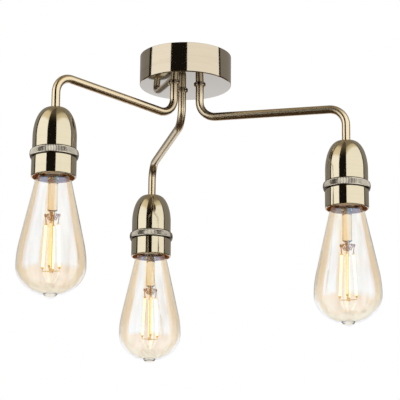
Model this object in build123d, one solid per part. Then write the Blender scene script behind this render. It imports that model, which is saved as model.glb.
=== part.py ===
from build123d import *
import os
from math import acos, atan2, cos, degrees, radians, sin, sqrt

# A semi-flush ceiling light: a round canopy, three bent tube arms and three hanging lampholders.
# Millimetres. The origin is on the ceiling plane at the canopy's centre and +Z points up.
# The names left, rear and right say where an arm goes when the light is seen from the front, -Y.

# Layout of the arms
arm_sides = ("left", "rear", "right")
rear_arm_angle = 102.25
arm_angle_step = 120.0
arm_reach = 161.5
arm_circle_radius = 14.9
arm_depth = 64.1
arm_tail = 33.3
arm_bend_radius = 17.0
# The light's tubes are bent by hand, so each arm's outer end has its own rise
left_arm_rise = 7.9
rear_arm_drop = 2.7
right_arm_drop = 3.1
arm_rises = {"left": left_arm_rise, "rear": -rear_arm_drop, "right": -right_arm_drop}
tube_diameter = 8.0
tube_wall = 1.0

# Clearances
press_clearance = 0.05
thread_clearance = 0.08
sliding_clearance = 0.3
assembly_clearance = 0.4
cut_overrun = 2.0

# Canopy
canopy_diameter = 90.0
canopy_height = 30.0
canopy_wall = 1.0
canopy_edge_radius = 0.8

# Collars under the canopy, and the washers and nuts above its floor
collar_diameter = 11.8
collar_height = 1.8
collar_edge_radius = 0.75
collar_step_diameter = 9.8
collar_step_height = 0.8
washer_diameter = 15.0
washer_thickness = 0.8
arm_nut_width = 12.0
arm_nut_height = 3.0
arm_nut_chamfer = 0.6
arm_thread_stand_out = 2.0

# Ceiling bracket and the grub screws in its ears
strap_width = 18.0
strap_thickness = 1.5
strap_bend_radius = 2.4
ear_length = 12.0
ear_screw_depth = 7.0
fixing_spacing = 60.0
fixing_slot_length = 12.0
fixing_slot_width = 4.6
cable_hole_diameter = 10.0
earth_screw_offset = 14.0
screw_diameter = 4.0
screw_length = 8.0
screw_recess = 0.3
screw_hole_clearance = 0.2
hex_socket_width = 2.0
hex_socket_depth = 2.2
earth_head_diameter = 7.0
earth_head_height = 2.4
earth_washer_diameter = 9.0
earth_washer_thickness = 0.8
earth_shank_length = 4.5
screw_slot_width = 0.9
screw_slot_depth = 1.0

# Terminal block, which stands on the canopy's floor between the rear and left arms
block_turn = 60.0
block_distance = 29.5
block_depth = 15.0
block_height = 12.0
block_edge_radius = 1.0
pole_pitch = 8.4
pole_count = 3
pole_groove_width = 1.6
pole_groove_depth = 2.6
pole_bore_diameter = 5.4
pole_bore_height = 5.0
clamp_well_diameter = 4.4
clamp_well_spacing = 7.6
clamp_screw_diameter = 3.8
clamp_screw_recess = 1.2
clamp_screw_gap = 0.4

# Inner wires
wire_diameter = 2.2
wire_spacing = 2.5
wire_bend_radius = 3.6
wire_end_depth = 4.0
wire_bundle_radius = 1.4
wire_rise = 9.0
wire_layer_step = 4.0
wire_aisle = 5.0
wire_tail = 3.5
wire_fan_height = 10.0

# Lampholder shells, sizes measured down from the top of the dome
dome_diameter = 40.8
dome_crown_diameter = 14.0
dome_round_height = 28.5
dome_wall = 1.0
dome_boss_diameter = 18.0
dome_boss_thickness = 3.0
dome_length = 44.3
foot_diameter = 43.2
foot_height = 2.5
flange_height = 2.0
ring_rim = 0.5
ring_lip_height = 2.0
ring_edge_wall = 0.45
ring_crown = 0.55
ring_chamfer_height = 1.0
ring_foot_wall = 0.5
skirt_diameter = 41.6
skirt_wall = 1.3
skirt_drop = 20.0
skirt_hem_radius = 0.8
holder_nut_width = 12.0
holder_nut_height = 3.5
holder_nut_chamfer = 0.7
tube_stand_in = 8.5

# Insulating core of the lampholder
core_wall = 2.4
core_base_thickness = 4.5
core_above_foot = 13.5
core_below_foot = 15.5
core_flange_lap = 1.0
core_flange_height = 2.0
core_edge_radius = 0.8

# Thread shell and centre contact
shell_wall = 0.4
shell_lip = 2.0
shell_length = 20.0
shell_top_gap = 3.4
shell_strap_thickness = 0.6
post_diameter = 5.0
post_height = 6.0
post_offset = 8.5
post_rivet_diameter = 2.6
post_hole_depth = 4.5
contact_length = 16.0
contact_width = 5.0
contact_thickness = 0.6

# Bulb, a pear-shaped lamp with a 27 mm screw cap
bulb_diameter = 64.0
bulb_length = 142.0
bulb_bottom_height = 27.0
bulb_cheek_radius = 100.0
bulb_wall = 1.0
bulb_shoulder_diameter = 31.8
bulb_shoulder_depth = 2.4
bulb_shoulder_radius = 2.2
bulb_neck_depth = 0.8
bulb_neck_bend_radius = 1.6
bulb_neck_lap = 5.0
pip_diameter = 11.0
pip_height = 2.2
pip_rounding = 1.8
cap_diameter = 26.4
cap_wall = 0.4
cap_length = 27.0
cap_thread_length = 21.0
cap_shoulder_diameter = 21.0
cap_shoulder_height = 1.6
insulator_top_diameter = 11.0
insulator_lap = 0.8
base_contact_diameter = 9.6
base_contact_thickness = 1.2
base_contact_rounding = 0.6
cap_cement_gap = 0.4

# Glass stem and filament cage, depths measured down from the cap's rim
flare_lip = 1.6
flare_length = 13.4
stem_diameter = 9.0
stem_depth = 35.0
stem_rounding = 1.2
rod_diameter = 2.4
cage_top_depth = 46.5
cage_below_widest = 2.7
cage_top_radius = 5.6
cage_bottom_radius = 7.8
cage_tail = 3.2
filament_count = 4
filament_diameter = 2.0
support_wire_diameter = 0.9
support_wire_bend_radius = 1.0
crown_start_radius = 2.1
crown_radius = 6.4
crown_drop = 2.4
crown_fall = 1.2
hub_diameter = 3.6
hub_height = 2.0
# Each bulb comes to rest at its own turn when it is screwed in, in degrees from +X
left_bulb_turn = -8.0
rear_bulb_turn = 7.0
right_bulb_turn = -11.0
bulb_turns = {"left": left_bulb_turn, "rear": rear_bulb_turn, "right": right_bulb_turn}

# Sizes worked out from the ones above
tube_radius = tube_diameter / 2
tube_bore_radius = tube_radius - tube_wall
canopy_radius = canopy_diameter / 2
canopy_inner_radius = canopy_radius - canopy_wall
canopy_floor_z = canopy_wall - canopy_height
washer_top_z = canopy_floor_z + washer_thickness
arm_nut_top_z = washer_top_z + arm_nut_height
tube_top_z = arm_nut_top_z + arm_thread_stand_out
ring_height = ring_rim + foot_height + flange_height + ring_lip_height
ring_top = dome_length - foot_height - ring_rim
ring_bottom = ring_top + ring_height
ring_bore_radius = foot_diameter / 2 + thread_clearance
ring_edge_radius = ring_bore_radius + ring_edge_wall
ring_lip_radius = skirt_diameter / 2 + sliding_clearance
skirt_radius = skirt_diameter / 2
skirt_bore_radius = skirt_radius - skirt_wall
skirt_bottom = dome_length + flange_height + skirt_drop
flange_radius = foot_diameter / 2 - thread_clearance
dome_radius = dome_diameter / 2
cap_radius = cap_diameter / 2
shell_bore_radius = cap_radius + sliding_clearance
shell_radius = shell_bore_radius + shell_wall
core_bore_radius = shell_radius + press_clearance
core_radius = core_bore_radius + core_wall
core_flange_radius = skirt_bore_radius + core_flange_lap
core_top = dome_length - core_above_foot
core_base_bottom = core_top + core_base_thickness
core_bottom = dome_length + core_below_foot
contact_face = core_base_bottom + contact_thickness
bulb_top = contact_face + sliding_clearance
cap_rim = bulb_top + cap_length
bulb_tip = bulb_top + bulb_length
bulb_pole = bulb_tip - pip_height
bulb_widest = bulb_pole - bulb_bottom_height
neck_radius = cap_radius - cap_wall - cap_cement_gap
shell_top = core_base_bottom + shell_top_gap
post_top = core_top - post_height
cap_shoulder = cap_rim - cap_thread_length
cap_top = cap_shoulder - cap_shoulder_height
cap_mouth_radius = cap_shoulder_diameter / 2 - cap_wall
insulator_radius = cap_mouth_radius - press_clearance
insulator_top = bulb_top + base_contact_thickness
stem_bottom = cap_rim + stem_depth
cage_top = cap_rim + cage_top_depth
cage_bottom = bulb_widest + cage_below_widest
hub_bottom = cage_bottom + cage_tail
support_wire_radius = support_wire_diameter / 2
block_face = block_distance - block_depth / 2
pole_bore_z = canopy_floor_z + pole_bore_height
live_wire_z = tube_top_z + wire_rise


def arm_angle(side):
    """Direction of an arm, in degrees from +X."""
    return rear_arm_angle + arm_angle_step * (arm_sides.index("rear") - arm_sides.index(side))


def dome_top_z(side):
    """Height of a lampholder's dome, which follows its arm's rise."""
    return arm_rises[side] - arm_depth - arm_tail


def at_holder(side, shape):
    """Place a shape that was made on the lampholder's own axis, dome top at zero."""
    turn = arm_angle(side)
    place = (arm_reach * cos(radians(turn)), arm_reach * sin(radians(turn)), dome_top_z(side))
    return Pos(*place) * Rot(0, 0, turn) * shape


def at_bulb(side, shape):
    """Place a shape on the lampholder's axis, turned as its bulb is turned."""
    return at_holder(side, Rot(0, 0, bulb_turns[side] - arm_angle(side)) * shape)


def at_arm_foot(side, shape):
    """Place a shape on the axis where an arm passes the canopy's floor."""
    turn = arm_angle(side)
    place = (arm_circle_radius * cos(radians(turn)), arm_circle_radius * sin(radians(turn)), 0)
    return Pos(*place) * Rot(0, 0, turn) * shape


def turned(outline):
    """Revolve a closed outline, drawn as radius and height, about the Z axis."""
    return revolve(Plane.XZ * make_face(outline), Axis.Z)


def turned_points(*points):
    """Revolve a closed outline of straight lines."""
    return turned(Polyline(*points, close=True))


def tube(outer_radius, inner_radius, low, high):
    """A plain ring between two heights."""
    corners = ((inner_radius, low), (outer_radius, low), (outer_radius, high), (inner_radius, high))
    return turned_points(*corners)


def rod(radius, low, high):
    """A plain round bar between two heights."""
    return Pos(0, 0, low) * Cylinder(radius, high - low, align=(Align.CENTER, Align.CENTER, Align.MIN))


def hex_nut(width, height, chamfer_size, bore_radius):
    """A hexagon nut that stands on z = 0, with its corners turned down."""
    corner_radius = width / 2 / cos(radians(30))
    prism = extrude(RegularPolygon(corner_radius, 6), height)
    cone_outline = (
        (0, 0),
        (corner_radius - chamfer_size, 0),
        (corner_radius, chamfer_size),
        (corner_radius, height - chamfer_size),
        (corner_radius - chamfer_size, height),
        (0, height),
    )
    return (prism & turned_points(*cone_outline)) - rod(bore_radius, -cut_overrun, height + cut_overrun)


def round_sweep(path, radius):
    """Sweep a circle along a path of straight runs and arcs."""
    return sweep(Plane(path @ 0, z_dir=path % 0) * Circle(radius), path=path)


# Canopy
def canopy():
    cup = turned_points(
        (0, -canopy_height),
        (canopy_radius, -canopy_height),
        (canopy_radius, 0),
        (canopy_inner_radius, 0),
        (canopy_inner_radius, canopy_floor_z),
        (0, canopy_floor_z),
    )
    cup = fillet(cup.edges().group_by(Axis.Z)[0], canopy_edge_radius)
    for side in arm_sides:
        cup -= at_arm_foot(side, rod(tube_radius + press_clearance, -canopy_height - cut_overrun, 0))
    screw_hole = Cylinder(screw_diameter / 2 + screw_hole_clearance, canopy_diameter + cut_overrun)
    return cup - Pos(0, 0, -ear_screw_depth) * Rot(0, 90, 0) * screw_hole


# Ceiling bracket
def strap_reach():
    """Half the strap's length: its corners just clear the canopy's wall."""
    return sqrt((canopy_inner_radius - assembly_clearance) ** 2 - (strap_width / 2) ** 2)


def ceiling_bracket():
    top = (Align.CENTER, Align.CENTER, Align.MAX)
    reach = strap_reach()
    blank = Box(2 * reach, strap_width, ear_length, align=top)
    blank = fillet(blank.edges().filter_by(Axis.Y).group_by(Axis.Z)[-1], strap_bend_radius)
    inner = Box(2 * (reach - strap_thickness), strap_width + cut_overrun, ear_length, align=top)
    inner = fillet(
        inner.edges().filter_by(Axis.Y).group_by(Axis.Z)[-1], strap_bend_radius - strap_thickness
    )
    bracket = blank - Pos(0, 0, -strap_thickness) * inner
    slot_face = SlotOverall(fixing_slot_length, fixing_slot_width)
    slot = extrude(slot_face, strap_thickness + cut_overrun, both=True)
    for end in (-1, 1):
        bracket -= Pos(end * fixing_spacing / 2, 0, 0) * slot
    bracket -= Cylinder(cable_hole_diameter / 2, ear_length)
    earth_hole_radius = screw_diameter / 2 + press_clearance
    bracket -= Pos(-earth_screw_offset, 0, 0) * Cylinder(earth_hole_radius, ear_length)
    ear_holes = Rot(0, 90, 0) * Cylinder(earth_hole_radius, canopy_diameter)
    return bracket - Pos(0, 0, -ear_screw_depth) * ear_holes


def canopy_screws():
    """Two grub screws that pass the canopy's wall into the bracket's ears."""
    shank = rod(screw_diameter / 2, 0, screw_length)
    socket_radius = hex_socket_width / 2 / cos(radians(30))
    socket = extrude(RegularPolygon(socket_radius, 6), hex_socket_depth + cut_overrun)
    screw = shank - Pos(0, 0, screw_length - hex_socket_depth) * socket
    start = canopy_radius - screw_recess - screw_length
    pair = []
    for end in (-1, 1):
        pair.append(Pos(end * start, 0, -ear_screw_depth) * Rot(0, end * 90, 0) * screw)
    return Compound(children=pair)


def earth_screw():
    """Pan-head screw with its washer, tapped up into the strap."""
    washer_bottom = -strap_thickness - earth_washer_thickness
    head_bottom = washer_bottom - earth_head_height
    head = rod(earth_head_diameter / 2, head_bottom, washer_bottom)
    head = fillet(head.edges().group_by(Axis.Z)[0], screw_slot_depth / 2)
    screw = head + rod(earth_washer_diameter / 2, washer_bottom, -strap_thickness)
    screw += rod(screw_diameter / 2, washer_bottom, washer_bottom + earth_shank_length - strap_thickness)
    slot = Box(earth_head_diameter, screw_slot_width, 2 * screw_slot_depth)
    return Pos(-earth_screw_offset, 0, 0) * (screw - Pos(0, 0, head_bottom) * slot)


# Terminal block
def at_block(shape):
    """Place a shape made on the block's own axes: +X away from the canopy's centre, floor at zero."""
    turn = rear_arm_angle + block_turn
    place = (block_distance * cos(radians(turn)), block_distance * sin(radians(turn)), canopy_floor_z)
    return Pos(*place) * Rot(0, 0, turn) * shape


def pole_places():
    return [(pole - (pole_count - 1) / 2) * pole_pitch for pole in range(pole_count)]


def terminal_block():
    floor = (Align.CENTER, Align.CENTER, Align.MIN)
    block = Box(block_depth, pole_count * pole_pitch, block_height, align=floor)
    block = fillet(block.edges().filter_by(Axis.Z), block_edge_radius)
    groove = Box(block_depth + cut_overrun, pole_groove_width, 2 * pole_groove_depth)
    for place in pole_places()[1:]:
        block -= Pos(0, place - pole_pitch / 2, block_height) * groove
    for place in pole_places():
        bore = Pos(0, place, pole_bore_height) * Rot(0, 90, 0)
        block -= bore * Cylinder(pole_bore_diameter / 2, block_depth + cut_overrun)
        for end in (-1, 1):
            well = rod(clamp_well_diameter / 2, pole_bore_height, block_height + cut_overrun)
            block -= Pos(end * clamp_well_spacing / 2, place, 0) * well
    return at_block(block)


def clamp_screws():
    """Two slotted screws in each pole, clear of the wires below them."""
    low = pole_bore_height + pole_bore_diameter / 2 + clamp_screw_gap
    high = block_height - clamp_screw_recess
    slot = Box(clamp_well_diameter, screw_slot_width, 2 * screw_slot_depth)
    screw = rod(clamp_screw_diameter / 2, low, high) - Pos(0, 0, high) * slot
    screws = []
    for place in pole_places():
        for end in (-1, 1):
            screws.append(at_block(Pos(end * clamp_well_spacing / 2, place, 0) * screw))
    return Compound(children=screws)


# Arms and their fastenings on the canopy
def arm_path(side, offset=0, start_z=tube_top_z, end_depth=tube_stand_in):
    """Centre line of an arm, or a line beside it, from the canopy down to the lampholder."""
    turn = radians(arm_angle(side))
    out = Vector(cos(turn), sin(turn), 0)
    across = Vector(-sin(turn), cos(turn), 0) * offset
    up = Vector(0, 0, 1)
    corners = (
        out * arm_circle_radius + up * start_z + across,
        out * arm_circle_radius - up * arm_depth + across,
        out * arm_reach + up * (arm_rises[side] - arm_depth) + across,
        out * arm_reach + up * (dome_top_z(side) - end_depth) + across,
    )
    return FilletPolyline(*corners, radius=arm_bend_radius)


def arm(side):
    path = arm_path(side)
    return round_sweep(path, tube_radius) - round_sweep(path, tube_bore_radius)


def arm_collars():
    """A turned disc with a narrower step below it, tight under the canopy."""
    bore = tube_radius + press_clearance
    disc_bottom = -canopy_height - collar_height
    disc = rod(collar_diameter / 2, disc_bottom, -canopy_height)
    disc = fillet(disc.edges().filter_by(GeomType.CIRCLE), collar_edge_radius)
    step = rod(collar_step_diameter / 2, disc_bottom - collar_step_height, disc_bottom)
    step = fillet(step.edges().group_by(Axis.Z)[0], collar_step_height / 3)
    collar = disc + step - rod(bore, disc_bottom - collar_height, -canopy_height + cut_overrun)
    return Compound(children=[at_arm_foot(side, collar) for side in arm_sides])


def arm_washers():
    washer = tube(washer_diameter / 2, tube_radius + press_clearance, canopy_floor_z, washer_top_z)
    return Compound(children=[at_arm_foot(side, washer) for side in arm_sides])


def arm_nuts():
    nut = hex_nut(arm_nut_width, arm_nut_height, arm_nut_chamfer, tube_radius + press_clearance)
    return Compound(children=[at_arm_foot(side, Pos(0, 0, washer_top_z) * nut) for side in arm_sides])


# Lampholder shells
def rounded_outline(inset, bottom):
    """Outline of the bullet dome, moved inwards by a wall, down to a given depth."""
    crown = dome_crown_diameter / 2
    side = dome_radius - inset
    shoulder = EllipticalCenterArc(
        (crown, -dome_round_height), side - crown, dome_round_height - inset, 0, arc_size=90
    )
    frame = Polyline(
        (crown, -inset), (0, -inset), (0, -bottom), (side, -bottom), (side, -dome_round_height)
    )
    return Curve() + [shoulder, frame]


def holder_dome(side):
    """Bullet dome with a boss at its top and a threaded foot inside the ring."""
    foot_top = dome_length - foot_height
    dome = turned(rounded_outline(0, dome_length)) + rod(foot_diameter / 2, -dome_length, -foot_top)
    hollow = turned(rounded_outline(dome_wall, dome_length + cut_overrun))
    hollow -= rod(dome_boss_diameter / 2, -dome_boss_thickness, 0)
    seat_top = core_flange_height - dome_length
    hollow += rod(core_flange_radius + press_clearance, -dome_length - cut_overrun, seat_top)
    dome -= hollow
    return at_holder(side, dome - rod(tube_radius + press_clearance, -dome_length, cut_overrun))


def holder_ring(side):
    """Crowned union ring: it turns on the dome's foot and its lip catches the skirt's flange."""
    lip_top = ring_bottom - ring_lip_height
    crown_bottom = ring_bottom - ring_chamfer_height
    middle = (ring_edge_radius + ring_crown, -(ring_top + crown_bottom) / 2)
    crown = ThreePointArc((ring_edge_radius, -crown_bottom), middle, (ring_edge_radius, -ring_top))
    inside = Polyline(
        (ring_edge_radius, -ring_top),
        (ring_bore_radius, -ring_top),
        (ring_bore_radius, -lip_top),
        (ring_lip_radius, -lip_top),
        (ring_lip_radius, -ring_bottom),
        (ring_lip_radius + ring_foot_wall, -ring_bottom),
        (ring_edge_radius, -crown_bottom),
    )
    return at_holder(side, turned(Curve() + [crown, inside]))


def holder_skirt(side):
    """Plain drawn tube with a flange at its top."""
    skirt = tube(skirt_radius, skirt_bore_radius, -skirt_bottom, -dome_length)
    skirt += tube(flange_radius, skirt_bore_radius, -dome_length - flange_height, -dome_length)
    hem = skirt.edges().filter_by(GeomType.CIRCLE).group_by(Axis.Z)[0].sort_by(SortBy.LENGTH)[-1]
    return at_holder(side, fillet(hem, skirt_hem_radius))


def holder_nuts():
    nut = hex_nut(holder_nut_width, holder_nut_height, holder_nut_chamfer, tube_radius + press_clearance)
    low = -dome_boss_thickness - holder_nut_height
    return Compound(children=[at_holder(side, Pos(0, 0, low) * nut) for side in arm_sides])


# Insulating core, thread shell and centre contact
def holder_core(side):
    """Moulded cup with a flange that is clamped between the dome's foot and the skirt."""
    core = tube(core_radius, core_bore_radius, -core_bottom, -core_top)
    core = fillet(core.edges().group_by(Axis.Z)[0].sort_by(SortBy.LENGTH)[-1], core_edge_radius)
    core += rod(core_bore_radius + press_clearance, -core_base_bottom, -core_top)
    core += tube(core_flange_radius, core_bore_radius, -dome_length, core_flange_height - dome_length)
    for place in (-post_offset, post_offset):
        hole = rod(post_rivet_diameter / 2 + press_clearance, -core_bottom, cut_overrun - core_top)
        core -= Pos(0, place, 0) * hole
    return at_holder(side, core)


def terminal_post(rivet_bottom):
    """A post on top of the core with its rivet through the core's base and a hole for a wire."""
    post = rod(post_diameter / 2, -core_top, -post_top)
    post += rod(post_rivet_diameter / 2, -rivet_bottom, -core_top)
    hole = rod(wire_diameter / 2 + press_clearance, -post_top - post_hole_depth, cut_overrun - post_top)
    return post - hole


def holder_contact(side):
    """Flat centre contact under the core's base, in one piece with its post."""
    far_end = post_offset + post_diameter / 2
    from_far_end = (Align.CENTER, Align.MAX, Align.MIN)
    strip = Box(contact_width, contact_length, contact_thickness, align=from_far_end)
    contact = Pos(0, far_end, -contact_face) * strip
    return at_holder(side, contact + Pos(0, post_offset, 0) * terminal_post(contact_face))


def holder_shell(side):
    """Thin threaded shell with a lip and a strap to its post, the thread left plain."""
    low = (Align.CENTER, Align.MIN, Align.MIN)
    lip_bottom = shell_top + shell_wall
    shell = tube(shell_radius, shell_bore_radius, -shell_top - shell_length, -shell_top)
    shell += tube(shell_radius, shell_bore_radius - shell_lip, -lip_bottom, -shell_top)
    strap_bottom = core_base_bottom + shell_strap_thickness
    edge = shell_bore_radius - shell_lip
    foot = post_offset - post_rivet_diameter / 2
    strap_length = edge + shell_strap_thickness - foot
    strap = Pos(0, -foot - strap_length, -strap_bottom) * Box(
        contact_width, strap_length, shell_strap_thickness, align=low
    )
    tongue = Pos(0, -foot - strap_length, -lip_bottom) * Box(
        contact_width, shell_strap_thickness, lip_bottom - core_base_bottom, align=low
    )
    post = Pos(0, -post_offset, 0) * terminal_post(strap_bottom)
    return at_holder(side, shell + strap + tongue + post)


# Inner wires
def block_point(outward, sideways, height):
    """A point given on the terminal block's own directions."""
    turn = radians(rear_arm_angle + block_turn)
    return Vector(
        outward * cos(turn) - sideways * sin(turn), outward * sin(turn) + sideways * cos(turn), height
    )


def wire_path(side, hand, pole, layer_z):
    """Centre line of one wire from its post in the lampholder to its pole in the terminal block."""
    turn = radians(arm_angle(side))
    out = Vector(cos(turn), sin(turn), 0)
    across = Vector(-sin(turn), cos(turn), 0) * hand
    up = Vector(0, 0, 1)
    holder = out * arm_reach + up * dome_top_z(side)
    beside = across * wire_spacing / 2
    post = across * post_offset
    fan_top = tube_stand_in + wire_tail
    bundle_turn = turn - radians(rear_arm_angle + block_turn)
    bundle_out = wire_bundle_radius * cos(bundle_turn)
    sideways = pole_places()[pole] + wire_bundle_radius * sin(bundle_turn)
    entry_z = pole_bore_z + bundle_out
    corners = (
        holder + post - up * (post_top + wire_end_depth),
        holder + post - up * (fan_top + wire_fan_height),
        holder + beside - up * fan_top,
        out * arm_reach + up * (arm_rises[side] - arm_depth) + beside,
        out * arm_circle_radius - up * arm_depth + beside,
        out * arm_circle_radius + up * layer_z + beside,
        block_point(block_face - wire_aisle + bundle_out, sideways, layer_z),
        block_point(block_face - wire_aisle + bundle_out, sideways, entry_z),
        block_point(block_face + wire_end_depth, sideways, entry_z),
    )
    tight = wire_bend_radius
    radii = (tight, tight, arm_bend_radius, arm_bend_radius, tight, tight, tight)
    return FilletPolyline(*corners, radius=radii)


def arm_wires(side):
    """The live wire runs in the lower layer and leaves its tube on the side that it turns to."""
    live_hand = -1 if side == "left" else 1
    live = round_sweep(wire_path(side, live_hand, 0, live_wire_z), wire_diameter / 2)
    neutral_path = wire_path(side, -live_hand, pole_count - 1, live_wire_z + wire_layer_step)
    return Compound(children=[live, round_sweep(neutral_path, wire_diameter / 2)])


# Bulbs
def inset_corner(before, corner, after, distance):
    """Move a corner of an outline sideways so that both its lines shift by the same distance."""
    first = (Vector(*corner) - Vector(*before)).normalized()
    second = (Vector(*after) - Vector(*corner)).normalized()
    normals = Vector(first.Y, -first.X, 0) + Vector(second.Y, -second.X, 0)
    moved = Vector(*corner) + normals * (distance / (1 + first.dot(second)))
    return (moved.X, moved.Y)


def bulb_outline(inset, top):
    """Half outline of the pear shape: neck, shoulder, cone, wide cheek and elliptical bottom."""
    widest = bulb_diameter / 2
    cheek_centre = (widest - bulb_cheek_radius, -bulb_widest)
    shoulder = (bulb_shoulder_diameter / 2, -cap_rim - bulb_shoulder_depth)
    neck = (neck_radius, -cap_rim - bulb_neck_depth)
    reach = Vector(*shoulder) - Vector(*cheek_centre)
    cheek_angle = atan2(reach.Y, reach.X) - acos(bulb_cheek_radius / reach.length)
    cheek = bulb_cheek_radius - inset
    meeting = (
        cheek_centre[0] + cheek * cos(cheek_angle),
        cheek_centre[1] + cheek * sin(cheek_angle),
    )
    outer_meeting = (
        cheek_centre[0] + bulb_cheek_radius * cos(cheek_angle),
        cheek_centre[1] + bulb_cheek_radius * sin(cheek_angle),
    )
    neck_line = FilletPolyline(
        (neck_radius - inset, top),
        inset_corner((neck_radius, top), neck, shoulder, inset),
        inset_corner(neck, shoulder, outer_meeting, inset),
        meeting,
        radius=(bulb_neck_bend_radius + inset, bulb_shoulder_radius - inset),
    )
    cheek_arc = CenterArc(cheek_centre, cheek, 0, degrees(cheek_angle))
    bottom = EllipticalCenterArc(
        (0, -bulb_widest), widest - inset, bulb_bottom_height - inset, 270, arc_size=90
    )
    axis = Polyline((0, inset - bulb_pole), (0, top), (neck_radius - inset, top))
    return Curve() + [neck_line, cheek_arc, bottom, axis]


def bulb_glass(side):
    """Blown glass with an open neck inside the cap and a small flat tip at the bottom."""
    neck_top = bulb_neck_lap - cap_rim
    tip = rod(pip_diameter / 2, -bulb_tip, bulb_wall / 2 - bulb_pole)
    tip = fillet(tip.edges().group_by(Axis.Z)[0], pip_rounding)
    glass = turned(bulb_outline(0, neck_top)) + tip
    return at_holder(side, glass - turned(bulb_outline(bulb_wall, neck_top + cut_overrun)))


def bulb_cap(side):
    """Screw cap: a thin shell that draws in to the insulator's seat, the thread left plain."""
    cap = turned_points(
        (0, -cap_rim),
        (cap_radius, -cap_rim),
        (cap_radius, -cap_shoulder),
        (cap_shoulder_diameter / 2, -cap_top),
        (0, -cap_top),
    )
    hollow = turned_points(
        (0, -cap_rim - cut_overrun),
        (cap_radius - cap_wall, -cap_rim - cut_overrun),
        (cap_radius - cap_wall, -cap_shoulder - cap_wall),
        (cap_mouth_radius, -cap_top - cap_wall),
        (cap_mouth_radius, cut_overrun - cap_top),
        (0, cut_overrun - cap_top),
    )
    return at_holder(side, cap - hollow)


def bulb_insulator(side):
    """Dark glass cone in the mouth of the cap."""
    insulator = turned_points(
        (0, -cap_top - insulator_lap),
        (insulator_radius, -cap_top - insulator_lap),
        (insulator_radius, -cap_top),
        (insulator_top_diameter / 2, -insulator_top),
        (0, -insulator_top),
    )
    return at_holder(side, insulator)


def bulb_base_contact(side):
    button = rod(base_contact_diameter / 2, -insulator_top, -bulb_top)
    return at_holder(side, fillet(button.edges().group_by(Axis.Z)[-1], base_contact_rounding))


def bulb_stem(side):
    """Flared glass stem, sealed in the neck, with a thin rod down the middle of the cage."""
    neck_top = bulb_neck_lap - cap_rim
    lip_radius = neck_radius - bulb_wall - press_clearance
    stem_radius = stem_diameter / 2
    flare_top = neck_top - flare_lip
    flare_bottom = flare_top - flare_length
    flare = EllipticalCenterArc(
        (lip_radius, flare_bottom), lip_radius - stem_radius, flare_length, 90, arc_size=90
    )
    frame = Polyline(
        (stem_radius, flare_bottom),
        (stem_radius, -stem_bottom),
        (0, -stem_bottom),
        (0, neck_top),
        (lip_radius, neck_top),
        (lip_radius, flare_top),
    )
    stem = turned(Curve() + [flare, frame])
    stem = fillet(stem.edges().group_by(Axis.Z)[0], stem_rounding)
    stem += rod(rod_diameter / 2, -hub_bottom, -stem_bottom)
    return at_holder(side, stem + rod(hub_diameter / 2, -hub_bottom, hub_height - hub_bottom))


def around_cage(shape):
    """Repeat a shape round the bulb's axis, once for each filament."""
    step = 360 / filament_count
    return [Rot(0, 0, step * index) * shape for index in range(filament_count)]


def bulb_filaments(side):
    """Straight filaments that splay towards the bottom of the bulb."""
    line = Line((cage_bottom_radius, 0, -cage_bottom), (cage_top_radius, 0, -cage_top))
    filament = round_sweep(line, filament_diameter / 2)
    return at_bulb(side, Compound(children=around_cage(filament)))


def bulb_support_wires(side):
    """Crown wires from the stem to the filaments' tops and spokes from their feet to the hub."""
    filament_radius = filament_diameter / 2
    crown = FilletPolyline(
        (crown_start_radius, 0, -stem_bottom - press_clearance),
        (crown_start_radius, 0, -stem_bottom - crown_drop),
        (crown_radius, 0, -stem_bottom - crown_drop - crown_fall),
        (cage_top_radius, 0, filament_radius / 2 - cage_top),
        radius=support_wire_bend_radius,
    )
    spoke_z = hub_height / 2 - hub_bottom
    spoke = FilletPolyline(
        (cage_bottom_radius, 0, -cage_bottom - filament_radius / 2),
        (cage_bottom_radius, 0, spoke_z),
        (hub_diameter / 2 + press_clearance, 0, spoke_z),
        radius=support_wire_bend_radius,
    )
    wires = around_cage(round_sweep(crown, support_wire_radius))
    wires += around_cage(round_sweep(spoke, support_wire_radius))
    return at_bulb(side, Compound(children=wires))


# Write one file for each piece
single_pieces = {
    "canopy": canopy,
    "ceiling_bracket": ceiling_bracket,
    "canopy_screws": canopy_screws,
    "earth_screw": earth_screw,
    "terminal_block": terminal_block,
    "clamp_screws": clamp_screws,
    "arm_collars": arm_collars,
    "arm_washers": arm_washers,
    "arm_nuts": arm_nuts,
    "holder_nuts": holder_nuts,
}
pieces_of_each_arm = {
    "arm": arm,
    "wires": arm_wires,
    "holder_dome": holder_dome,
    "holder_ring": holder_ring,
    "holder_skirt": holder_skirt,
    "holder_core": holder_core,
    "holder_shell": holder_shell,
    "holder_contact": holder_contact,
    "bulb_glass": bulb_glass,
    "bulb_cap": bulb_cap,
    "bulb_insulator": bulb_insulator,
    "bulb_base_contact": bulb_base_contact,
    "bulb_stem": bulb_stem,
    "bulb_filaments": bulb_filaments,
    "bulb_support_wires": bulb_support_wires,
}

os.makedirs("parts", exist_ok=True)
for name, make in single_pieces.items():
    export_step(make(), f"parts/{name}.step")
for side in arm_sides:
    for name, make in pieces_of_each_arm.items():
        export_step(make(side), f"parts/{side}_{name}.step")
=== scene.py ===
import math

import bmesh
import bpy
from mathutils import Matrix, Vector


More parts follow.
